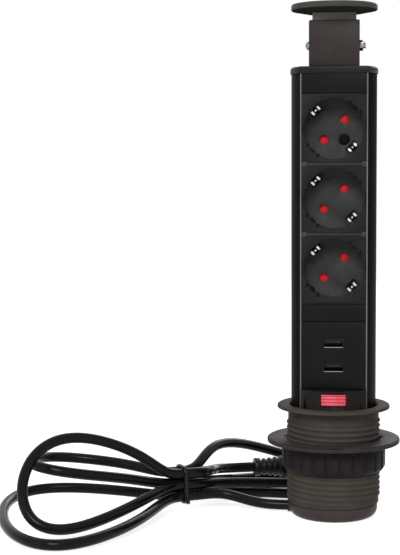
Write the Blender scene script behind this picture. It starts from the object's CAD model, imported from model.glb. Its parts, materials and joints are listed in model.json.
# %% [markdown]
# # A pop-up desk socket, dressed over its own solids
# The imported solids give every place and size. This lesson loads them as a fixed frame, sets the
# camera of the photograph, lays the mains lead, and then gives each piece its edges and finish.
# Lengths are in millimetres unless a name or comment says otherwise, and MM makes them metres.

# %% Frame
import json
import math

import bmesh
import bpy
from mathutils import Matrix, Vector

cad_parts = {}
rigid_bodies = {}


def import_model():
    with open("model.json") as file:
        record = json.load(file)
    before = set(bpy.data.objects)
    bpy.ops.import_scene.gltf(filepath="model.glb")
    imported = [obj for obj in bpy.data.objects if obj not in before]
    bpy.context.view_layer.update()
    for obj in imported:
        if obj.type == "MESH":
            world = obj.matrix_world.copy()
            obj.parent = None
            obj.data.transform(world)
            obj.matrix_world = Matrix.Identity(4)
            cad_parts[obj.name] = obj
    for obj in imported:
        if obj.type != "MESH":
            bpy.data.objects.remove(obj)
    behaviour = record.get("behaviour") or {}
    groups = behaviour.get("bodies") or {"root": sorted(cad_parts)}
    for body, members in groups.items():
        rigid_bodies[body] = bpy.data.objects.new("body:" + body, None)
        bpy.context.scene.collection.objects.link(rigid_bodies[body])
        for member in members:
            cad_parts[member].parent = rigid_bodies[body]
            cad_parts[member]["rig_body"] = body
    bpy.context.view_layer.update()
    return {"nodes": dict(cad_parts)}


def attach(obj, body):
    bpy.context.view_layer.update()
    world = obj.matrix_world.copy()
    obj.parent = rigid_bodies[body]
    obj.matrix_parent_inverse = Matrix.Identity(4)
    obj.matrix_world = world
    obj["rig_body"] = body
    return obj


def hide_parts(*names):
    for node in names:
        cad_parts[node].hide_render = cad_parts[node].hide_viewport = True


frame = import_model()
scene = bpy.context.scene
MM = 0.001
print("solids loaded:", len(frame["nodes"]))

# %% [markdown]
# ## The camera
# The photograph was taken from about a metre away, level with the upper half of the tower and
# looking a little down. Forty-two points of the solids were matched to it, which gave the place,
# the turn and the focal length used here. The frame is 400 by 555, so the sensor's 36 mm lie
# along its height.

# %% Camera
photo_height_px = 555
focal_px = 1454
sensor_mm = 36
far_clip_m = 20
camera_at = Vector((0, -964.6, 236.6))
yaw, pitch, roll = (math.radians(a) for a in (5.27, 4.58, -0.28))
forward = Vector((-math.sin(yaw) * math.cos(pitch), math.cos(yaw) * math.cos(pitch),
                  -math.sin(pitch)))
level_right = Vector((math.cos(yaw), math.sin(yaw), 0))
level_up = level_right.cross(forward)
right = math.cos(roll) * level_right + math.sin(roll) * level_up
up = math.cos(roll) * level_up - math.sin(roll) * level_right

camera = bpy.data.objects.new("photo_camera", bpy.data.cameras.new("photo_camera"))
scene.collection.objects.link(camera)
camera.data.sensor_width = sensor_mm
camera.data.lens = focal_px * sensor_mm / photo_height_px
camera.data.clip_end = far_clip_m
turn = Matrix((right, up, -forward)).transposed().to_4x4()
camera.matrix_world = Matrix.Translation(camera_at * MM) @ turn
bpy.context.scene.camera = camera
print("lens:", round(camera.data.lens, 1), "mm")

# %% [markdown]
# ## The route of the lead
# The lead leaves the end cap, runs to a tie, makes five loops that all pass through the tie, and
# ends at the plug. A smooth curve through control points is the natural tool. Each loop is a
# rounded lobe from the tie to its tip and back, so a few numbers a loop are enough, and they are
# those of the solids.

# %% Loops of the hank
waist = Vector((-102, 2, 18.5))
waist_turn = math.radians(28)
along = Vector((math.cos(waist_turn), math.sin(waist_turn), 0))
across = Vector((math.sin(waist_turn), -math.cos(waist_turn), 0))
waist_half, pass_dy, pass_dz = 13, 3.9, 7.8  # half the waist's length, spacing of its strands
lobe_points, slow_start = 12, 1.3
# These bring the largest width, bow and lift of a lobe to about 1
width_scale, width_growth, bow_scale, lift_scale = 1.17, 0.13, 4, 9.5

# Each loop: pass out, pass back, tip, half width, bow out, bow back, roundness, lift
loops = [
    ((1, -1), (-1, -1), (-214, -60, 8), (18, -64, -3), (0, -8, -2), (0, -20, 2), 2, 0),
    ((-1, -1), (-1, 0), (27, 66, 4), (0, -29, 0), (-4, 22, -2.5), (-6, 32, -5), 1.2, 0),
    ((-1, 0), (-1, 1), (-204, -16, 37), (2, -29, 2), (0, 0, 0), (0, 0, 0), 1.6, 0),
    ((-1, 1), (1, 0), (27, 67.5, 12.5), (0, 28.5, 0), (-10, 33, -7.5), (-4, 22, -3), 1.2, 23.5),
    ((1, 0), (1, 1), (-198, -74, 29), (4, -22, -28), (0, -8, 9), (0, -8, 3), 2, 0),
]


def pass_offset(place):
    """From the middle of the waist to one of the strands that pass through it."""
    return across * place[0] * pass_dy + Vector((0, 0, place[1] * pass_dz))


def loop_points(loop):
    """Control points from the tie round one loop and back."""
    go, back, tip, half, bow_go, bow_back, power, lift = loop
    go, back = pass_offset(go), pass_offset(back)
    reach, half = Vector(tip) - waist, Vector(half)
    side = math.copysign(waist_half, reach.x) * along
    skip = 2 if power > slow_start else 1  # a lobe that starts slowly needs fewer points there
    widest = width_scale + width_growth * power
    points = [waist + go, waist + go + side]
    for k in range(skip, lobe_points - skip + 1):
        a = math.pi * k / lobe_points
        first = k <= lobe_points / 2
        f = math.sin(a) ** power
        g = widest * math.sin(2 * a) * math.sin(a) ** ((power + 1) / 2)
        bow = Vector(bow_go if first else bow_back)
        rise = lift_scale * lift * f * (1 - f) ** 3 if first else 0
        points.append(waist + reach * f + half * g + bow * bow_scale * f * (1 - f)
                      + (go if first else back) * (1 - f) + Vector((0, 0, rise)))
    return points + [waist + back + side]


# %% Route from the bush to the plug
lead_d = 7
exit_x = -30.5  # the mouth of the bush in the end cap
curve_steps, tail_steps = 8, 40
tail_start, tail_pull, plug_pull = 5, 33, 36  # how far the tail keeps to the ways at its ends
tail_end = Vector((-63, 56, 18.9))
plug_turn = math.radians(14)
plug_way = Vector((math.cos(plug_turn), math.sin(plug_turn), 0))
lead_in = [Vector(p) for p in ((6, 2, 5.2), (-7, 2, 5.2), (-20, 2, 5.2), (-32, 2, 5.2),
                               (-44, 2.5, 5.3), (-56, 5.5, 6.6), (-67, 9.5, 9))]


def smooth(controls):
    """Points of the cubic B-spline along the control points."""
    found = []
    for i in range(len(controls) - 3):
        c = controls[i:i + 4]
        for j in range(curve_steps + (i == len(controls) - 4)):
            t = j / curve_steps
            u = 1 - t
            found.append((u**3 * c[0] + (3 * t**3 - 6 * t**2 + 4) * c[1]
                          + (3 * u**3 - 6 * u**2 + 4) * c[2] + t**3 * c[3]) / 6)
    return found


first_pass, last_pass = waist + pass_offset((1, -1)), waist + pass_offset((1, 1))
approach = [first_pass + 2 * waist_half * along, first_pass + waist_half * along]
hank = approach + [p for loop in loops for p in loop_points(loop)]
hank += [last_pass + k * tail_start * along for k in range(3)]

bezier = (last_pass + tail_start * along, last_pass + tail_pull * along,
          tail_end - plug_pull * plug_way, tail_end)
tail = []
for i in range(1, tail_steps + 1):
    t = i / tail_steps
    u = 1 - t
    tail.append(u**3 * bezier[0] + 3 * t * u**2 * bezier[1]
                + 3 * t**2 * u * bezier[2] + t**3 * bezier[3])
tail.append(tail_end + lead_d * plug_way)

whole = smooth(lead_in + approach + [first_pass])[:-1] + smooth(hank) + tail
at_bush = next(k for k, point in enumerate(whole) if point.x <= exit_x)
inside, outside = whole[:at_bush], whole[at_bush:]
share = (exit_x - inside[-1].x) / (outside[0].x - inside[-1].x)
exit_point = inside[-1].lerp(outside[0], share)
inside.append(exit_point)
outside.insert(0, exit_point)

# %% [markdown]
# ## Helpers for colours, nodes and pieces
# Colours are written as sRGB hex, as a picker shows them, and turned to linear light here. One
# function adds a node with its settings and links, one starts a material, and one makes an object
# of a mesh or a curve and says which body it rides on.


# %% Helpers
def linear(hex_colour):
    """Linear light, with an alpha of 1, from an sRGB hex value."""
    parts = [int(hex_colour[i:i + 2], 16) / 255 for i in (1, 3, 5)]
    return [c / 12.92 if c <= 0.04045 else ((c + 0.055) / 1.055) ** 2.4 for c in parts] + [1]


def add(tree, kind, settings=None, inputs=None):
    """A new node with its settings, and with its inputs linked or set."""
    node = tree.nodes.new(kind)
    for name, value in (settings or {}).items():
        setattr(node, name, value)
    for name, value in (inputs or {}).items():
        if isinstance(value, bpy.types.NodeSocket):
            tree.links.new(value, node.inputs[name])
        else:
            node.inputs[name].default_value = value
    return node


def new_material(name):
    material = bpy.data.materials.new(name)
    material.use_nodes = True
    tree = material.node_tree
    tree.nodes.clear()
    shader = add(tree, "ShaderNodeBsdfPrincipled")
    add(tree, "ShaderNodeOutputMaterial", None, {"Surface": shader.outputs["BSDF"]})
    return material, tree, shader


def new_piece(name, mesh_or_curve, material, body):
    piece = bpy.data.objects.new(name, mesh_or_curve)
    scene.collection.objects.link(piece)
    if not piece.data.materials:
        piece.data.materials.append(material)
    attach(piece, body)
    return piece


# %% [markdown]
# ## Moulded plastics
# Most of the object is ABS and nylon from a mould: a dull, fine-grained skin with slow, weak
# changes of tone where the melt flowed. Two noises do it: a fine one for the grain, which drives
# bump and roughness, and a broad one for the tone. The grain of such a tool is near 0.1 mm and is
# drawn coarser so it shows. Such a skin scatters most of its shine, so the specular level stays
# well under that of a polished plastic. A second function gives one part of a piece another tone,
# here the darker frame in front of the socket wells.

# %% Moulded plastics
noise_low, noise_high = 0.3, 0.7  # most of a noise lies between these
plastic_ior, patch_mm, grain_strength, uneven = 1.53, 14, 0.5, 0.06


def moulded(name, tone, other_tone, roughness, grain_mm=0.5, depth_mm=0.02, skin=0.2):
    material, tree, shader = new_material(name)
    place = add(tree, "ShaderNodeTexCoord").outputs["Object"]
    grain = add(tree, "ShaderNodeTexNoise", None, {
        "Vector": place, "Scale": 1 / (grain_mm * MM), "Detail": 2})
    patch = add(tree, "ShaderNodeTexNoise", None, {
        "Vector": place, "Scale": 1 / (patch_mm * MM), "Detail": 3})
    ramp = add(tree, "ShaderNodeValToRGB", None, {"Fac": patch.outputs["Fac"]})
    stops = zip(ramp.color_ramp.elements, (noise_low, noise_high), (tone, other_tone))
    for stop, at, colour in stops:
        stop.position, stop.color = at, linear(colour)
    spread = add(tree, "ShaderNodeMapRange", None, {
        "Value": grain.outputs["Fac"], "From Min": noise_low, "From Max": noise_high,
        "To Min": roughness - uneven, "To Max": roughness + uneven})
    bump = add(tree, "ShaderNodeBump", None, {
        "Height": grain.outputs["Fac"], "Distance": depth_mm * MM, "Strength": grain_strength})
    shader.inputs["IOR"].default_value = plastic_ior
    shader.inputs["Specular IOR Level"].default_value = skin
    tree.links.new(ramp.outputs["Color"], shader.inputs["Base Color"])
    tree.links.new(spread.outputs["Result"], shader.inputs["Roughness"])
    tree.links.new(bump.outputs["Normal"], shader.inputs["Normal"])
    return material


def tone_below(material, axis, line_mm, blend_mm, tone, dull=False):
    """Another tone, without shine if dull, below a line along one axis."""
    tree = material.node_tree
    shader = next(n for n in tree.nodes if n.type == "BSDF_PRINCIPLED").inputs
    base, shine = shader["Base Color"], shader["Specular IOR Level"]
    place = add(tree, "ShaderNodeTexCoord").outputs["Object"]
    split = add(tree, "ShaderNodeSeparateXYZ", None, {"Vector": place})
    past = add(tree, "ShaderNodeMapRange", None, {
        "Value": split.outputs[axis], "From Min": line_mm * MM,
        "From Max": (line_mm + blend_mm) * MM}).outputs["Result"]
    # For colours a Mix node takes its factor at 0, A at 6 and B at 7, and gives its result at 2
    mixed = add(tree, "ShaderNodeMix", {"data_type": "RGBA"}, {
        0: past, 6: linear(tone), 7: base.links[0].from_socket})
    tree.links.new(mixed.outputs[2], base)
    if dull:
        faded = add(tree, "ShaderNodeMath", {"operation": "MULTIPLY"}, {
            0: past, 1: shine.default_value})
        tree.links.new(faded.outputs["Value"], shine)


# Each finish: name, two tones, roughness, and where they differ grain, its depth and shine
panel_abs = moulded("matt_black_abs_panel", "#171616", "#1c1b1b", 0.5, skin=0.06)
socket_abs = moulded("dark_grey_abs_socket", "#383938", "#414241", 0.5, skin=0.1)
tone_below(socket_abs, "Y", -17.2, 0.8, "#1d1e1e")
trim_abs = moulded("grey_abs_trim", "#323231", "#3c3c3a", 0.45)
collar_abs = moulded("moss_black_abs_collar", "#4a4641", "#54504a", 0.6, 0.7, 0.03, skin=0.02)
ring_nylon = moulded("black_nylon_ring", "#383334", "#403b3c", 0.55, 0.6, 0.03, skin=0.06)
nut_nylon = moulded("black_nylon_nut", "#272425", "#2e2b2c", 0.5, 0.6, 0.03, skin=0.04)
cap_abs = moulded("brown_black_abs_cap", "#413b39", "#494341", 0.5, skin=0.12)
block_abs = moulded("satin_black_abs_block", "#141312", "#1a1918", 0.4, skin=0.1)
recess_abs = moulded("black_abs_recess", "#060606", "#0a0a0a", 0.6, skin=0.08)
cream_pbt = moulded("cream_pbt_insulator", "#d5d0c4", "#dcd8cc", 0.5)
tongue_abs = moulded("black_lcp_tongue", "#1a1a1a", "#202020", 0.45)
print("materials with the moulded plastics:", len(bpy.data.materials))

# %% [markdown]
# ## Painted and anodised metal
# The tower is an extruded aluminium profile, anodised black: fine lines from the die run along
# it, so its noise is stretched along Z. The lid, bracket, neck and pull disc are sheet and turned
# metal under a thin powder coat, which has a soft orange-peel skin of about a millimetre and is a
# little smoother on the disc. In the photograph the disc's underside is darker than its rim and
# has no shine.

# %% Painted and anodised metal
die_line_mm, die_depth_mm, die_strength, die_stretch = 0.6, 0.02, 0.4, (1, 1, 0.015)
die_low, die_high, anodised_shine = 0.35, 0.68, 0.01


def drawn_profile(name, tone, other_tone, roughness):
    material, tree, shader = new_material(name)
    place = add(tree, "ShaderNodeTexCoord").outputs["Object"]
    stretched = add(tree, "ShaderNodeMapping", None, {"Vector": place, "Scale": die_stretch})
    lines = add(tree, "ShaderNodeTexNoise", None, {
        "Vector": stretched.outputs["Vector"], "Scale": 1 / (die_line_mm * MM), "Detail": 3})
    ramp = add(tree, "ShaderNodeValToRGB", None, {"Fac": lines.outputs["Fac"]})
    stops = zip(ramp.color_ramp.elements, (die_low, die_high), (tone, other_tone))
    for stop, at, colour in stops:
        stop.position, stop.color = at, linear(colour)
    bump = add(tree, "ShaderNodeBump", None, {
        "Height": lines.outputs["Fac"], "Distance": die_depth_mm * MM, "Strength": die_strength})
    shader.inputs["Roughness"].default_value = roughness
    shader.inputs["Specular IOR Level"].default_value = anodised_shine
    tree.links.new(ramp.outputs["Color"], shader.inputs["Base Color"])
    tree.links.new(bump.outputs["Normal"], shader.inputs["Normal"])
    return material


rail_anodised = drawn_profile("black_anodised_aluminium", "#14120f", "#1a1715", 0.42)
bead_anodised = drawn_profile("worn_grey_anodised_edge", "#767370", "#85827e", 0.4)
lid_coat = moulded("black_powder_coat_lid", "#1e1d1c", "#242322", 0.45, 1.1, 0.03, skin=0.1)
bracket_coat = moulded("brown_black_powder_coat", "#332d2c", "#3b3534", 0.5, 1.1, 0.03, skin=0.12)
neck_coat = moulded("grey_powder_coat", "#72716d", "#7c7b77", 0.5, 1.1, 0.03)
disc_coat = moulded("satin_black_enamel", "#454543", "#4d4d4a", 0.42, 1.4, 0.02, skin=0.05)
tone_below(disc_coat, "Z", 334.1, 0.3, "#33322f", dull=True)
print("materials with the coats:", len(bpy.data.materials))

# %% [markdown]
# ## Bare metal
# The cross bolt, port shells, earth springs and plug pins are steel or brass under nickel or
# zinc. Nickel is bright and a little warm, zinc greyer and duller. A weak noise of about a
# millimetre clouds the roughness, as handling and rolling do, and keeps the reflections from
# looking like a mirror's.

# %% Bare metal
cloud_low, cloud_high = 0.7, 1.3


def bare_metal(name, tone, roughness, cloud_mm=1.2):
    material, tree, shader = new_material(name)
    place = add(tree, "ShaderNodeTexCoord").outputs["Object"]
    cloud = add(tree, "ShaderNodeTexNoise", None, {
        "Vector": place, "Scale": 1 / (cloud_mm * MM), "Detail": 3})
    spread = add(tree, "ShaderNodeMapRange", None, {
        "Value": cloud.outputs["Fac"], "From Min": noise_low, "From Max": noise_high,
        "To Min": roughness * cloud_low, "To Max": roughness * cloud_high})
    shader.inputs["Base Color"].default_value = linear(tone)
    shader.inputs["Metallic"].default_value = 1
    tree.links.new(spread.outputs["Result"], shader.inputs["Roughness"])
    return material


bright_steel = bare_metal("nickel_plated_steel", "#8b8885", 0.3)
zinc_steel = bare_metal("zinc_plated_steel", "#9a9a98", 0.38)
spring_nickel = bare_metal("nickel_plated_spring", "#c4c2bc", 0.2, 0.8)
shell_steel = bare_metal("dull_plated_steel_shell", "#302f2e", 0.42)
contact_brass = bare_metal("bare_brass", "#c9a24a", 0.3)
pin_nickel = bare_metal("nickel_plated_brass", "#c9cbcd", 0.22)
print("materials with the metals:", len(bpy.data.materials))

# %% [markdown]
# ## Soft PVC, red plastics and what lies inside
# The lead's sheath and the plug are soft PVC, smooth from the extruder, so a highlight runs along
# each strand; slow ripples a few millimetres long break it. The shutters and the button are
# glossy polycarbonate, dyed red through, and the button has a paler milky skin where light enters
# its ridges. The wires, board, tape and sleeve inside are plain plastics in their usual colours.

# %% Soft PVC, red plastics and what lies inside
lead_pvc = moulded("black_pvc_sheath", "#110f0f", "#161414", 0.2, 2.5, 0.04, skin=0.1)
plug_pvc = moulded("black_pvc_moulding", "#121111", "#171615", 0.42, 0.8, 0.03)
shutter_red = moulded("red_polycarbonate", "#ea1a22", "#f4262e", 0.3, 2.0, 0.01, skin=0.12)
button_red = moulded("rose_red_polycarbonate", "#ee4d62", "#f4667a", 0.3, 1.0, 0.01, skin=0.4)
edge_red = moulded("dark_red_polycarbonate_edge", "#3c070d", "#460a11", 0.4, skin=0.1)
wire_brown = moulded("brown_pvc_wire", "#64401f", "#72492a", 0.4)
wire_blue = moulded("blue_pvc_wire", "#38689f", "#4276bd", 0.4)
wire_green = moulded("green_pvc_wire", "#76a434", "#88b741", 0.4)
board_green = moulded("green_glass_laminate", "#2a6237", "#347342", 0.35)
coil_tape = moulded("yellow_polyester_tape", "#d1ba50", "#dcc864", 0.35)
can_sleeve = moulded("blue_pet_sleeve", "#2b3447", "#353f54", 0.3)
print("materials in all:", len(bpy.data.materials))

# %% [markdown]
# ## The lead
# A free cord is best a curve: one open line with a round bevel, so that its length and bends can
# be measured. The last stretch before the bush lies inside the end cap and is a piece of its own,
# a hair thinner.

# %% Lead
hair, bevel_steps = 0.02, 6


def round_line(name, points_mm, diameter_mm, material, body):
    line = bpy.data.curves.new(name, "CURVE")
    line.dimensions = "3D"
    line.bevel_depth = diameter_mm / 2 * MM
    line.bevel_resolution = bevel_steps
    line.use_fill_caps = True
    spline = line.splines.new("POLY")
    spline.points.add(len(points_mm) - 1)
    for point, place in zip(spline.points, points_mm):
        point.co = (*(place * MM), 1)
    spline.use_smooth = True
    return new_piece(name, line, material, body)


lead = round_line("mains_lead", outside, lead_d, lead_pvc, "tower")
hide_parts("cord_lead", "cord_hank", "cord_tail")
round_line("mains_lead_in_cap", inside, lead_d - hair, lead_pvc, "tower")
print("points of the lead outside and inside:", len(outside), len(inside))

# %% [markdown]
# ## Helpers for meshes
# Many small pieces are rows of points with a skin of faces over them: a band, a bent strip, a box
# or a turned sleeve. What repeats comes from Geometry Nodes: a tree with named sizes makes it, and
# the evaluated result is kept as a plain mesh.


# %% Mesh helpers
def shade_smooth(mesh, sharp_deg=None):
    """Smooth shading, with edges kept sharp past an angle where one is given."""
    mesh.polygons.foreach_set("use_smooth", [True] * len(mesh.polygons))
    if sharp_deg:
        mesh.set_sharp_from_angle(angle=math.radians(sharp_deg))


def mesh_of(name, shape):
    mesh = bpy.data.meshes.new(name)
    shape.to_mesh(mesh)
    shape.free()
    return mesh


def closed_mesh(name, shape, sharp_deg=None):
    """The mesh of a closed shape, its faces outwards, shaded smooth where an angle is given."""
    bmesh.ops.recalc_face_normals(shape, faces=shape.faces)
    mesh = mesh_of(name, shape)
    if sharp_deg:
        shade_smooth(mesh, sharp_deg)
    return mesh


def skin_rows(shape, rows, closed=False):
    """Faces from row to row, back to the first row if closed, or else with an end on both."""
    for a, b in zip(rows, rows[1:] + rows[:1] if closed else rows[1:]):
        for j in range(len(a)):
            n = (j + 1) % len(a)
            shape.faces.new((a[j], b[j], b[n], a[n]))
    if not closed:
        shape.faces.new(rows[0])
        shape.faces.new(rows[-1])


# %% Helpers for Geometry Nodes
def node_tree(name, inputs):
    """A Geometry Nodes tree with named inputs and one mesh output, and its inputs' sockets."""
    tree = bpy.data.node_groups.new(name, "GeometryNodeTree")
    for label, kind in inputs.items():
        tree.interface.new_socket(label, in_out="INPUT", socket_type="NodeSocket" + kind)
    tree.interface.new_socket("Mesh", in_out="OUTPUT", socket_type="NodeSocketGeometry")
    return tree, add(tree, "NodeGroupInput").outputs


def end_tree(tree, geometry, finish):
    """The end of a tree: real meshes in place of instances, with their material."""
    plain = add(tree, "GeometryNodeRealizeInstances", None, {"Geometry": geometry})
    coloured = add(tree, "GeometryNodeSetMaterial", None, {
        "Geometry": plain.outputs["Geometry"], "Material": finish})
    add(tree, "NodeGroupOutput", None, {"Mesh": coloured.outputs["Geometry"]})


def made_by(tree, values, start=None, sharp_deg=None):
    """The plain mesh that a tree makes from these input values."""
    holder = bpy.data.objects.new("holder", start or bpy.data.meshes.new("holder"))
    scene.collection.objects.link(holder)
    grower = holder.modifiers.new("grower", "NODES")
    grower.node_group = tree
    for item in tree.interface.items_tree:
        if item.in_out == "INPUT" and item.name in values:
            grower[item.identifier] = values[item.name]
    grown = holder.evaluated_get(bpy.context.evaluated_depsgraph_get())
    mesh = bpy.data.meshes.new_from_object(grown)
    bpy.data.objects.remove(holder)
    shade_smooth(mesh, sharp_deg)
    return mesh


# %% [markdown]
# ## The tie
# A plastic-coated wire holds the hank at its waist: a flat band drawn round the six strands,
# closed by a twist of its two ends. The band is a strip swept round a rounded rectangle, and the
# twist is two short helices. One tree makes any helix from a spiral curve and a small trapezoid
# profile that fades out at both ends, because the collar's thread needs one too.

# %% Helix tree
helix_tree, size = node_tree("helix", {
    "Radius": "Float", "Height": "Float", "Turns": "Float", "Root width": "Float",
    "Crest width": "Float", "Depth": "Float", "Run-out": "Float", "Steps": "Int",
    "Finish": "Material"})
spiral = add(helix_tree, "GeometryNodeCurveSpiral", None, {
    "Resolution": size["Steps"], "Rotations": size["Turns"], "Start Radius": size["Radius"],
    "End Radius": size["Radius"], "Height": size["Height"]})
upright = add(helix_tree, "GeometryNodeSetCurveNormal", {"mode": "Z_UP"}, {
    "Curve": spiral.outputs["Curve"]})
ridge = add(helix_tree, "GeometryNodeCurvePrimitiveQuadrilateral", {"mode": "TRAPEZOID"}, {
    "Height": size["Depth"], "Bottom Width": size["Root width"],
    "Top Width": size["Crest width"], "Offset": 0.0})
half_depth = add(helix_tree, "ShaderNodeMath", {"operation": "MULTIPLY"}, {
    0: size["Depth"], 1: -0.5})
outwards = add(helix_tree, "ShaderNodeCombineXYZ", None, {"X": half_depth.outputs["Value"]})
turned = add(helix_tree, "GeometryNodeTransform", None, {
    "Geometry": ridge.outputs["Curve"], "Translation": outwards.outputs["Vector"],
    "Rotation": (0, 0, math.pi / 2)})
way = add(helix_tree, "GeometryNodeSplineParameter").outputs["Factor"]
rest_of_way = add(helix_tree, "ShaderNodeMath", {"operation": "SUBTRACT"}, {0: 1.0, 1: way})
nearer = add(helix_tree, "ShaderNodeMath", {"operation": "MINIMUM"}, {
    0: way, 1: rest_of_way.outputs["Value"]})
fade = add(helix_tree, "ShaderNodeMapRange", None, {
    "Value": nearer.outputs["Value"], "From Max": size["Run-out"], "To Min": 0.05, "To Max": 1.0})
swept = add(helix_tree, "GeometryNodeCurveToMesh", None, {
    "Curve": upright.outputs["Curve"], "Profile Curve": turned.outputs["Geometry"],
    "Scale": fade.outputs["Result"], "Fill Caps": True})
end_tree(helix_tree, swept.outputs["Mesh"], size["Finish"])
print("helix tree:", len(helix_tree.nodes), "nodes")

# %% Tie and twist
band_half_w, band_half_h, band_corner, band_t, band_w = 7.7, 11.6, 3.5, 1.1, 2.6
corners = [(1, 1, 0), (-1, 1, 90), (-1, -1, 180), (1, -1, 270)]
band_line = [(sx * (band_half_w - band_corner) + band_corner * math.cos(math.radians(start + a)),
              sy * (band_half_h - band_corner) + band_corner * math.sin(math.radians(start + a)))
             for sx, sy, start in corners for a in range(0, 91, 10)]
# The band's section, in shares of its thickness outwards and of its width along the strands
band_section = [(0, -0.5), (0.75, -0.5), (1, -0.3), (1, 0.3), (0.75, 0.5), (0, 0.5)]
shape = bmesh.new()
rows = []
for k, (u, v) in enumerate(band_line):
    chord = Vector(band_line[(k + 1) % len(band_line)]) - Vector(band_line[k - 1])
    out = Vector((chord.y, -chord.x)).normalized()
    rows.append([shape.verts.new((waist - across * (u + out.x * t * band_t) + along * w * band_w
                                  + Vector((0, 0, v + out.y * t * band_t))) * MM)
                 for t, w in band_section])
skin_rows(shape, rows, closed=True)

twist = {"Radius": 0.45 * MM, "Height": 5.5 * MM, "Turns": 2.0, "Root width": 1.0 * MM,
         "Crest width": 0.8 * MM, "Depth": 0.8 * MM, "Run-out": 0.03, "Steps": 14,
         "Finish": plug_pvc}
twist_up, twist_lean = 5, 0.5
twist_foot = waist + across * (band_half_w + band_t) + Vector((0, 0, twist_up - band_half_h))
twist_way = (across * twist_lean + Vector((0, 0, -1))).normalized()
stand = (Matrix.Translation(twist_foot * MM)
         @ twist_way.to_track_quat("Z", "Y").to_matrix().to_4x4())
for turn_deg in (0, 180):
    wire = made_by(helix_tree, twist)
    wire.transform(stand @ Matrix.Rotation(math.radians(turn_deg), 4, "Z"))
    shape.from_mesh(wire)
tie_mesh = closed_mesh("hank_tie", shape, sharp_deg=40)
tie = new_piece("hank_tie", tie_mesh, plug_pvc, "tower")
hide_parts("cord_tie")
print("tie:", len(tie_mesh.polygons), "faces")

# %% [markdown]
# ## The collar and its thread
# The collar is a moulded sleeve with a thin flange and a coarse right-handed thread. A lathe of
# its outline gives the sleeve, and the thread is the same helix tree with a larger ridge, sunk a
# little into the sleeve. The solids keep plain ridges, because a helix tells a simulation nothing
# more.

# %% Collar
foot_z, flange_top, flange_low, ledge = 9.5, 75.0, 72.8, 29.1
flange_r, root_r, low_bore, high_bore = 37.25, 30.1, 28.3, 29.0
pole_gap_m = 1e-7  # points on a lathe's axis that lie closer than this are one
sleeve_line = [
    (low_bore + 0.4, foot_z),
    (root_r - 0.5, foot_z), (root_r - 0.15, foot_z + 0.15), (root_r, foot_z + 0.5),
    (root_r, flange_low - 0.5), (root_r + 0.15, flange_low - 0.15), (root_r + 0.5, flange_low),
    (flange_r - 0.4, flange_low), (flange_r - 0.1, flange_low + 0.12),
    (flange_r, flange_low + 0.4), (flange_r, flange_top - 0.9),
    (flange_r - 0.2, flange_top - 0.35), (flange_r - 0.7, flange_top),
    (high_bore + 0.7, flange_top), (high_bore + 0.2, flange_top - 0.2),
    (high_bore, flange_top - 0.7),
    (high_bore, ledge), (low_bore, ledge), (low_bore, foot_z + 0.4),
]


def lathe(name, points, steps=144):
    """A closed mesh turned about Z from points of radius and height."""
    shape = bmesh.new()
    rows = []
    for k in range(steps):
        a = 2 * math.pi * k / steps
        rows.append([shape.verts.new((r * math.cos(a) * MM, r * math.sin(a) * MM, z * MM))
                     for r, z in points])
    skin_rows(shape, rows, closed=True)
    bmesh.ops.remove_doubles(shape, verts=shape.verts, dist=pole_gap_m)
    return closed_mesh(name, shape, sharp_deg=50)


sleeve_mesh = lathe("collar_sleeve", sleeve_line)
sleeve = new_piece("collar_sleeve", sleeve_mesh, collar_abs, "collar")
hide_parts("collar")

thread_low, thread_high, thread_pitch, thread_depth, sink = 12.0, 65.8, 3.5, 0.9, 0.15
thread = {"Radius": (root_r - sink) * MM, "Height": (thread_high - thread_low) * MM,
          "Turns": (thread_high - thread_low) / thread_pitch, "Root width": 2.8 * MM,
          "Crest width": 0.84 * MM, "Depth": (thread_depth + sink) * MM, "Run-out": 0.02,
          "Steps": 120, "Finish": collar_abs}
thread_mesh = made_by(helix_tree, thread, sharp_deg=60)
thread_mesh.transform(Matrix.Translation((0, 0, thread_low * MM)))
new_piece("collar_thread", thread_mesh, collar_abs, "collar")
print("sleeve and thread:", len(sleeve_mesh.polygons), len(thread_mesh.polygons), "faces")

# %% [markdown]
# ## Screws
# Three countersunk screws hold the lid and three pan heads hold the end cap, on the same three
# ports of the profile. They repeat, so one tree makes a head with a cross recess and a plain shank
# and puts it on points.

# %% Screw tree
screw_tree, size = node_tree("cross_recess_screw", {
    "Ports": "Geometry", "Head radius": "Float", "Neck radius": "Float", "Head height": "Float",
    "Shank radius": "Float", "Shank length": "Float", "Recess": "Vector", "Tilt": "Vector",
    "Finish": "Material"})
head = add(screw_tree, "GeometryNodeMeshCone", None, {
    "Vertices": 40, "Radius Top": size["Head radius"], "Radius Bottom": size["Neck radius"],
    "Depth": size["Head height"]})
bar = add(screw_tree, "GeometryNodeMeshCube", None, {"Size": size["Recess"]})
bar_across = add(screw_tree, "GeometryNodeTransform", None, {
    "Geometry": bar.outputs["Mesh"], "Rotation": (0, 0, math.pi / 2)})
cross = add(screw_tree, "GeometryNodeMeshBoolean", {"operation": "UNION"}, {
    "Mesh 2": bar.outputs["Mesh"]})
screw_tree.links.new(bar_across.outputs["Geometry"], cross.inputs["Mesh 2"])
at_top = add(screw_tree, "ShaderNodeCombineXYZ", None, {"Z": size["Head height"]})
cross_placed = add(screw_tree, "GeometryNodeTransform", None, {
    "Geometry": cross.outputs["Mesh"], "Translation": at_top.outputs["Vector"]})
cut_head = add(screw_tree, "GeometryNodeMeshBoolean", {"operation": "DIFFERENCE"}, {
    "Mesh 1": head.outputs["Mesh"], "Mesh 2": cross_placed.outputs["Geometry"]})
shank = add(screw_tree, "GeometryNodeMeshCylinder", None, {
    "Vertices": 24, "Radius": size["Shank radius"], "Depth": size["Shank length"]})
half_shank = add(screw_tree, "ShaderNodeMath", {"operation": "MULTIPLY"}, {
    0: size["Shank length"], 1: -0.5})
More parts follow.
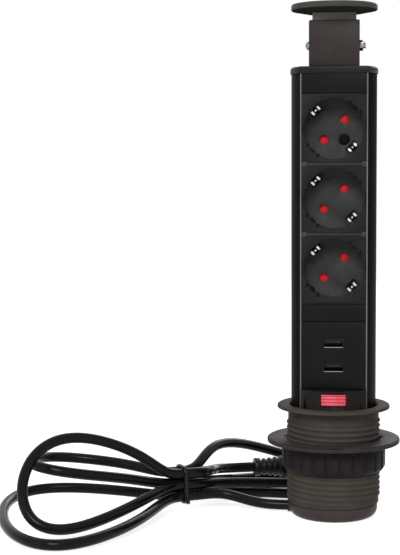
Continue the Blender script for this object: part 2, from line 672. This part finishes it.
below = add(screw_tree, "ShaderNodeCombineXYZ", None, {"Z": half_shank.outputs["Value"]})
shank_placed = add(screw_tree, "GeometryNodeTransform", None, {
    "Geometry": shank.outputs["Mesh"], "Translation": below.outputs["Vector"]})
screw = add(screw_tree, "GeometryNodeJoinGeometry", None, {"Geometry": cut_head.outputs["Mesh"]})
screw_tree.links.new(shank_placed.outputs["Geometry"], screw.inputs["Geometry"])
tilt = add(screw_tree, "FunctionNodeEulerToRotation", None, {"Euler": size["Tilt"]})
on_ports = add(screw_tree, "GeometryNodeInstanceOnPoints", None, {
    "Points": size["Ports"], "Instance": screw.outputs["Geometry"],
    "Rotation": tilt.outputs["Rotation"]})
end_tree(screw_tree, on_ports.outputs["Instances"], size["Finish"])
print("screw tree:", len(screw_tree.nodes), "nodes")

# %% Screws
port_ring_r, port_turns = 23.6, [math.radians(a) for a in (30, 90, 150)]
screw_r, head_r, shank_l = 1.25, 2.5, 12
recess_l, recess_w, recess_h = 3.0, 0.7, 1.8
# Each set: where head and shank meet, head height, neck radius, tilt
screw_sets = {
    "top_plate_screws": (295.5, 1.5, screw_r, (0, 0, 0.5)),
    "end_cap_screws": (3.0, 2.2, head_r - 0.2, (math.pi, 0, 0.3)),
}
for node, (height, head_h, neck_r, tilt_way) in screw_sets.items():
    ports = bpy.data.meshes.new("ports")
    ports.from_pydata([(port_ring_r * math.cos(a) * MM, port_ring_r * math.sin(a) * MM, height * MM)
                       for a in port_turns], [], [])
    mesh = made_by(screw_tree, {
        "Head radius": head_r * MM, "Neck radius": neck_r * MM, "Head height": head_h * MM,
        "Shank radius": screw_r * MM, "Shank length": shank_l * MM,
        "Recess": (recess_l * MM, recess_w * MM, recess_h * MM),
        "Tilt": tilt_way, "Finish": zinc_steel}, ports, sharp_deg=30)
    screws = new_piece(node + "_piece", mesh, zinc_steel, "tower")
    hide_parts(node)
    print(node, len(mesh.polygons), "faces")

# %% [markdown]
# ## Earth springs
# In each well two nickel-plated springs stand opposite each other, turned from the pin holes. A
# spring is a strip bent over at its mouth so that its belly presses on the plug, slit into two
# fingers with a short tongue between them. The bend is a row of points in the strip's own plane,
# given a thickness and laid beside the slit.

# %% Earth springs
socket_heights = {1: 256.95, 2: 211.45, 3: 165.95}
inwards = Vector((0, 1, 0))
pin_line, spring_line = Vector((1, 0, 1)).normalized(), Vector((-1, 0, 1)).normalized()
strip_t = 0.5
bend_line = [(18.1, 15.6), (18.1, 2.0), (18.1, -6.0), (18.4, -9.0), (19.0, -11.0), (19.05, -11.8),
             (18.7, -12.35), (17.9, -12.55), (16.9, -12.4), (15.9, -11.95), (15.2, -11.3),
             (14.9, -10.3), (15.2, -8.2), (16.2, -5.4), (17.2, -3.4)]
tongue_line = [(18.1, -4.0), (18.2, -10.4), (17.9, -11.7), (17.3, -12.2), (16.6, -11.8),
               (16.4, -10.4)]
foot_line = [(18.3, 15.6), (0, 15.6)]
# Each strip: points of reach and depth, and its two sides
spring_strips = [(bend_line, -3.2, -1.8), (bend_line, 1.8, 3.2), (tongue_line, -0.6, 0.6),
                 (foot_line, -3.2, 3.2)]


def point_at(centre, ways, distances):
    """The point, in metres, at three distances along three ways from a centre."""
    return (centre + sum((way * d for way, d in zip(ways, distances)), Vector())) * MM


def spring_strip(shape, line, low, high, centre, ways):
    rows = []
    for k, point in enumerate(line):
        chord = Vector(line[min(k + 1, len(line) - 1)]) - Vector(line[max(k - 1, 0)])
        side = Vector((chord.y, -chord.x)).normalized() * strip_t / 2
        rows.append([shape.verts.new(point_at(centre, ways, (*(Vector(point) + side * s), w)))
                     for s, w in ((-1, low), (1, low), (1, high), (-1, high))])
    skin_rows(shape, rows)


for number, height in socket_heights.items():
    name = f"earth_spring_{number}"
    shape = bmesh.new()
    for sign in (1, -1):
        ways = sign * spring_line, inwards, pin_line
        for line, low, high in spring_strips:
            spring_strip(shape, line, low, high, Vector((0, 0, height)), ways)
    mesh = closed_mesh(name, shape, sharp_deg=45)
    spring = new_piece(name, mesh, spring_nickel, "tower")
    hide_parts(f"earth_clip_{number}")
print("earth springs:", 2 * len(socket_heights))

# %% [markdown]
# ## Guide slots and spring pockets
# On the line of the pins each well has a guide notch with a narrow slot on either side, and each
# spring rises from a pocket in the floor. All are deep and unlit, so a small black insert stands
# just proud of each.

# %% Guide slots and spring pockets
face_y, well_floor_y, proud, notch_step = -17.3, 0.2, 0.05, 0.15
slot_reach, slot_depth = (18.3, 20.6), (face_y - proud, -14.5)
# Each box: its spans outwards from the well's axis, inwards and sideways
guide_boxes = [(slot_reach, slot_depth, (-5.6, -3.7)), (slot_reach, slot_depth, (3.7, 5.6)),
               ((18.9, 20.25), (face_y + notch_step, well_floor_y), (-1.45, 1.45))]
pocket_boxes = [((14.2, 19.3), (well_floor_y - proud, 0.5), (-4.1, 4.1))]
box_sets = [(pin_line, spring_line, guide_boxes), (spring_line, pin_line, pocket_boxes)]


def add_box(shape, centre, ways, spans):
    """A closed box between three pairs of distances along three ways from a centre."""
    (b, c), (d, e) = spans[1:]
    skin_rows(shape, [[shape.verts.new(point_at(centre, ways, (a, y, w)))
                       for y, w in ((b, d), (c, d), (c, e), (b, e))] for a in spans[0]])


shape = bmesh.new()
for height in socket_heights.values():
    for sign in (-1, 1):
        for out, beside, boxes in box_sets:
            for spans in boxes:
                add_box(shape, Vector((0, 0, height)), (sign * out, inwards, beside), spans)
slot_mesh = closed_mesh("socket_slots", shape)
new_piece("socket_slots", slot_mesh, recess_abs, "tower")
print("slots and pockets:", len(slot_mesh.polygons), "faces")

# %% [markdown]
# ## Pieces that keep their solid's shape
# The rest is right as it is, apart from its edges. Such a piece is a merged copy of the solid's
# triangles with a Bevel modifier, because a real moulded or cut edge is never sharp and its round
# catches the light. Each row gives the finish, the slot in the record, the round of the edges and
# the nodes. The round is fine on the profile and the panels, and larger on the bracket, the
# pressure ring and the plug.

# %% Rounded pieces
merge_mm, flat_deg, edge_deg, edge_segments = 0.002, 0.6, 32, 2


def rounded_copy(node, material, edge_mm, join_flat):
    """A piece in a node's place: its merged solid with rounded edges."""
    solid = frame["nodes"][node]
    shape = bmesh.new()
    shape.from_mesh(solid.data)
    bmesh.ops.remove_doubles(shape, verts=shape.verts, dist=merge_mm * MM)
    if join_flat:
        bmesh.ops.dissolve_limit(shape, angle_limit=math.radians(flat_deg), verts=shape.verts,
                                 edges=shape.edges)
    mesh = mesh_of(node + "_piece", shape)
    shade_smooth(mesh)
    piece = new_piece(node + "_piece", mesh, material, solid["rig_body"])
    bevel = piece.modifiers.new("edge", "BEVEL")
    bevel.width = edge_mm * MM
    bevel.segments = edge_segments
    bevel.limit_method = "ANGLE"
    bevel.angle_limit = math.radians(edge_deg)
    bevel.use_clamp_overlap = False
    bevel.harden_normals = True
    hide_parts(node)
    return piece


rounded_rows = [
    (ring_nylon, "ring_plastic", 0.5, ["pressure_ring"]),
    (nut_nylon, "nut_plastic", 0.35, ["clamp_nut"]),
    (rail_anodised, "rail_paint", 0.12, ["tower_profile"]),
    (lid_coat, "lid_paint", 0.2, ["top_plate"]),
    (cap_abs, "cap_plastic", 0.25, ["end_cap"]),
    (panel_abs, "panel_plastic", 0.25, ["blank_top", "blank_mid", "usb_plate"]),
    (socket_abs, "socket_plastic", 0.2, ["socket_1", "socket_2", "socket_3"]),
    (trim_abs, "trim_plastic", 0.1, ["divider_bars"]),
    (shutter_red, "shutter_red", 0.3, ["shutter_1", "shutter_2", "shutter_3"]),
    (shell_steel, "bright_steel", 0.08, ["usb_shells"]),
    (tongue_abs, "tongue_black", 0.15, ["usb_tongues"]),
    (block_abs, "block_plastic", 0.25, ["button_block"]),
    (button_red, "button_red", 0.2, ["release_button"]),
    (bracket_coat, "bracket_paint", 0.9, ["cap_bracket"]),
    (neck_coat, "neck_paint", 0.3, ["cap_neck"]),
    (disc_coat, "disc_paint", 0.25, ["cap_disc"]),
    (bright_steel, "bright_steel", 0.12, ["cross_bolt"]),
    (bright_steel, "bright_steel", 0.2, ["cross_nut"]),
    (plug_pvc, "plug_pvc", 0.3, ["plug_neck"]),
    (plug_pvc, "plug_pvc", 0.6, ["plug_body"]),
    (pin_nickel, "pin_nickel", 0.2, ["plug_pins"]),
    (pin_nickel, "pin_nickel", 0.15, ["plug_earth_contacts"]),
    (plug_pvc, "lead_pvc", 0.25, ["cord_grommet"]),
]
# The sockets' pierced faces keep their triangles
made = {node: rounded_copy(node, finish, edge_mm, finish is not socket_abs)
        for finish, slot, edge_mm, nodes in rounded_rows for node in nodes}
print("rounded pieces:", len(made))

# %% [markdown]
# ## Rail beads and the round recess
# A thin bead runs down the inner edge of each rail and holds the panels; it shows as a light grey
# line, as a rubbed edge does. The top socket also has a round recess with a black floor, a raised
# middle and a raised ring. Both are small closed shapes: a bar with a chamfer, and a lathe about
# the recess's own axis.

# %% Rail beads and round recess
bead_low, bead_high = 66.0, 292.5
bead_section = [(21.05, -17.3), (21.05, -17.5), (21.25, -17.62), (21.7, -17.62), (21.85, -17.5),
                (21.85, -17.3)]
shape = bmesh.new()
for sign in (-1, 1):
    skin_rows(shape, [[shape.verts.new((sign * x * MM, y * MM, z * MM)) for x, y in bead_section]
                      for z in (bead_low, bead_high)])
bead_mesh = closed_mesh("rail_beads", shape)
new_piece("rail_beads", bead_mesh, bead_anodised, "tower")

recess_r, recess_t, recess_steps = 3.75, 0.3, 48
recess_at = Vector((6.72, 0.6, 250.23))
recess_line = [(0, -0.15), (0.8, -0.15), (1.0, 0), (1.7, 0), (1.9, -0.2), (2.3, -0.2), (2.5, 0),
               (recess_r, 0), (recess_r, recess_t), (0, recess_t)]
recess_mesh = lathe("recess_floor", recess_line, recess_steps)
recess_mesh.transform(Matrix.Translation(recess_at * MM) @ Matrix.Rotation(-math.pi / 2, 4, "X"))
new_piece("recess_floor", recess_mesh, recess_abs, "tower")
print("beads and recess:", len(bead_mesh.polygons), len(recess_mesh.polygons), "faces")

# %% [markdown]
# ## Port lips and the edge of the button
# The lower lip of each port shows in the photograph as a bright line, so a thin plated bar lies on
# it. The button has a dark red edge there: a frame round its curved face, made of strips that
# follow the cylinder.

# %% Port lips
port_heights = (117.4, 101.5)
lip_ways = Vector((1, 0, 0)), inwards, Vector((0, 0, 1))
lip_spans = (-6.1, 6.1), (-17.28, -16.9), (-2.85, -2.4)
shape = bmesh.new()
for height in port_heights:
    add_box(shape, Vector((0, 0, height)), lip_ways, lip_spans)
lip_mesh = closed_mesh("usb_lips", shape)
new_piece("usb_lips", lip_mesh, bright_steel, "tower")
print("lips:", len(lip_mesh.polygons), "faces")

# %% Button edge
half_w, low_end, high_end, face_r = 8.5, 77.35, 85.65, 27.897
edge_w, edge_proud, edge_sunk, edge_steps = 0.65, 0.04, 0.3, 12
outer_r, inner_r = face_r + edge_proud, face_r - edge_sunk
# Each strip: its two ends across the button, its foot and its top
edge_strips = [(-half_w, half_w, low_end, low_end + edge_w),
               (-half_w, half_w, high_end - edge_w, high_end)]
edge_strips += [(x, x + edge_w, low_end + edge_w, high_end - edge_w)
                for x in (-half_w, half_w - edge_w)]
shape = bmesh.new()
for left_x, right_x, low, high in edge_strips:
    section = (outer_r, low), (outer_r, high), (inner_r, high), (inner_r, low)
    rows = []
    for k in range(edge_steps + 1):
        x = left_x + (right_x - left_x) * k / edge_steps
        rows.append([shape.verts.new((x * MM, -math.sqrt(r * r - x * x) * MM, z * MM))
                     for r, z in section])
    skin_rows(shape, rows)
edge_mesh = closed_mesh("button_edge", shape)
new_piece("button_edge", edge_mesh, edge_red, "button")
print("button edge:", len(edge_mesh.polygons), "faces")

# %% [markdown]
# ## Pieces inside
# Carriers, bars, board, wires and screws show only where a panel is off or a view looks into the
# foot, so their solids stay, with a finish each.

# %% Pieces inside
inside_rows = {
    cream_pbt: ["contact_carrier_1", "contact_carrier_2", "contact_carrier_3", "terminal_block",
                "cord_clamp"],
    contact_brass: ["live_busbar", "neutral_busbar", "earth_busbar"],
    zinc_steel: ["button_spring", "bracket_screws"],
    board_green: ["charger_board"],
    coil_tape: ["charger_transformer"],
    can_sleeve: ["charger_capacitors"],
    wire_brown: ["charger_wires", "wire_live"],
    wire_blue: ["wire_neutral"],
    wire_green: ["wire_earth"],
}
for finish, nodes in inside_rows.items():
    for node in nodes:
        solid = frame["nodes"][node]
        solid.data.materials.clear()
        solid.data.materials.append(finish)
print("pieces inside:", sum(len(nodes) for nodes in inside_rows.values()))

# %% [markdown]
# ## What the lead is
# The lead is declared with its length, its thickness, the bush it leaves by, and what sits on it.

# %% [markdown]
# ## Floor and light
# The photograph is a studio shot on white. A pale floor carries the shadow, a large soft lamp
# stands before and above the object, a weaker one fills from the left, one behind keeps the back
# of the tower from going black, and the world gives a low even light. What the camera and
# reflections see of the floor and the world is near white.

# %% Floor and world
scene.view_settings.view_transform = "Standard"
white = (1, 1, 1, 1)
floor_half_m, floor_glow, world_light, world_seen = 4, 0.8, 0.25, 1.0


def seen_rays(tree):
    """1 for a ray from the camera, a reflection or a clear piece, and 0 for other light."""
    ray = add(tree, "ShaderNodeLightPath").outputs
    seen = ray["Is Camera Ray"]
    for kind in ("Is Glossy Ray", "Is Transmission Ray"):
        seen = add(tree, "ShaderNodeMath", {"operation": "MAXIMUM"}, {
            0: seen, 1: ray[kind]}).outputs["Value"]
    return seen


shape = bmesh.new()
bmesh.ops.create_grid(shape, x_segments=1, y_segments=1, size=floor_half_m)
floor = bpy.data.objects.new("studio_floor", mesh_of("studio_floor", shape))
scene.collection.objects.link(floor)
floor_paper = bpy.data.materials.new("white_studio_paper")
floor_paper.use_nodes = True
tree = floor_paper.node_tree
tree.nodes.clear()
paper = add(tree, "ShaderNodeBsdfDiffuse", None, {"Color": linear("#e6e6e6")})
level = add(tree, "ShaderNodeMath", {"operation": "MULTIPLY"}, {0: seen_rays(tree), 1: floor_glow})
glow = add(tree, "ShaderNodeEmission", None, {"Color": white, "Strength": level.outputs["Value"]})
both = add(tree, "ShaderNodeAddShader", None, {
    0: paper.outputs["BSDF"], 1: glow.outputs["Emission"]})
add(tree, "ShaderNodeOutputMaterial", None, {"Surface": both.outputs["Shader"]})
floor.data.materials.append(floor_paper)

world = bpy.data.worlds.new("studio")
scene.world = world
world.use_nodes = True
tree = world.node_tree
tree.nodes.clear()
level = add(tree, "ShaderNodeMapRange", None, {
    "Value": seen_rays(tree), "To Min": world_light, "To Max": world_seen})
sky = add(tree, "ShaderNodeBackground", None, {
    "Color": white, "Strength": level.outputs["Result"]})
add(tree, "ShaderNodeOutputWorld", None, {"Surface": sky.outputs["Background"]})
print("floor and world:", floor.name, world.name)

# %% Lamps
lamp_aim = Vector((-0.05, 0, 0.15))
# Each lamp: name, place and size in metres, watts
lamps = [
    ("key_softbox", (-0.2, -1.5, 1.1), (0.7, 0.6), 18),
    ("left_softbox", (-1.2, -0.9, 0.6), (0.5, 0.9), 1),
    ("back_softbox", (0.3, 1.6, 1.0), (1.0, 0.8), 8),
]
for name, place, lamp_size, watts in lamps:
    lamp = bpy.data.lights.new(name, "AREA")
    lamp.shape = "RECTANGLE"
    lamp.size, lamp.size_y = lamp_size
    lamp.energy = watts
    holder = bpy.data.objects.new(name, lamp)
    scene.collection.objects.link(holder)
    holder.location = place
    holder.rotation_mode = "QUATERNION"
    holder.rotation_quaternion = (lamp_aim - Vector(place)).to_track_quat("-Z", "Y")
print("lamps:", len(lamps))
